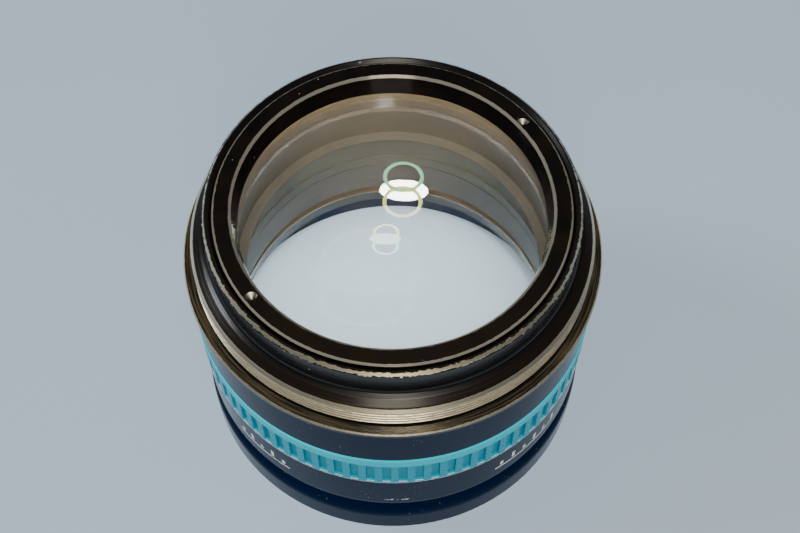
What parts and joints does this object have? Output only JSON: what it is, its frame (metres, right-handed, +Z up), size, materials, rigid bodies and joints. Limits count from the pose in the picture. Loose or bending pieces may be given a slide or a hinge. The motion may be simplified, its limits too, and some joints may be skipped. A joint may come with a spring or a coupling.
{
  "type": "microscope auxiliary lens",
  "caption": "Round auxiliary (Barlow) lens with a male mounting thread, ribbed grip ring, screwed retaining rings, a cemented doublet and a meniscus in a cell.",
  "frame": {"origin": "centre of the annular face that the lens stands on, at the specimen side", "axes": "+Z up along the optical axis towards the mounting thread; +X to the right as seen from the front"},
  "size_m": [0.061, 0.061, 0.0464],
  "materials": {
    "black_anodised": "satin",
    "black_gloss_paint": "gloss",
    "teal_paint": "satin",
    "brass": "satin",
    "coated_glass": "gloss",
    "cushion_plastic": "matte",
    "baffle_black": "matte",
    "screw_steel": "satin"
  },
  "bodies": {
    "lens_body": {"mount_barrel": "black_anodised", "upper_shell": "black_gloss_paint", "grip_ring": "teal_paint", "lower_shell": "black_gloss_paint", "lens_cell": "black_anodised", "crown_lens": "coated_glass", "flint_lens": "coated_glass", "doublet_cushion": "cushion_plastic", "upper_baffle_tube": "baffle_black", "aperture_stop": "baffle_black", "lower_baffle_tube": "baffle_black", "baffle_lock_ring": "baffle_black", "focus_shim": "brass", "meniscus_lens": "coated_glass", "grub_screws": "screw_steel", "cell_screws": "screw_steel"},
    "upper_washer": {"upper_slip_washer": "brass"},
    "upper_ring": {"upper_retaining_ring": "black_anodised"},
    "lower_washer": {"lower_slip_washer": "brass"},
    "lower_ring": {"lower_retaining_ring": "black_anodised"}
  },
  "joints": [
    {"name": "upper_ring_lift", "type": "slide", "parent": "lens_body", "child": "upper_washer", "axis": [0, 0, 1], "range_m": [0, 0.002]},
    {"name": "upper_ring_turn", "type": "hinge", "parent": "upper_washer", "child": "upper_ring", "pos_m": [0, 0, 0.0448], "axis": [0, 0, 1], "range_deg": [0, 1440]},
    {"name": "lower_ring_drop", "type": "slide", "parent": "lens_body", "child": "lower_washer", "axis": [0, 0, -1], "range_m": [0, 0.002]},
    {"name": "lower_ring_turn", "type": "hinge", "parent": "lower_washer", "child": "lower_ring", "pos_m": [0, 0, 0.0092], "axis": [0, 0, -1], "range_deg": [0, 1440]}
  ],
  "couplings": [
    {"joint": "upper_ring_lift", "follows": "upper_ring_turn", "m_per_rad": 0.000079577},
    {"joint": "lower_ring_drop", "follows": "lower_ring_turn", "m_per_rad": 0.000079577}
  ]
}
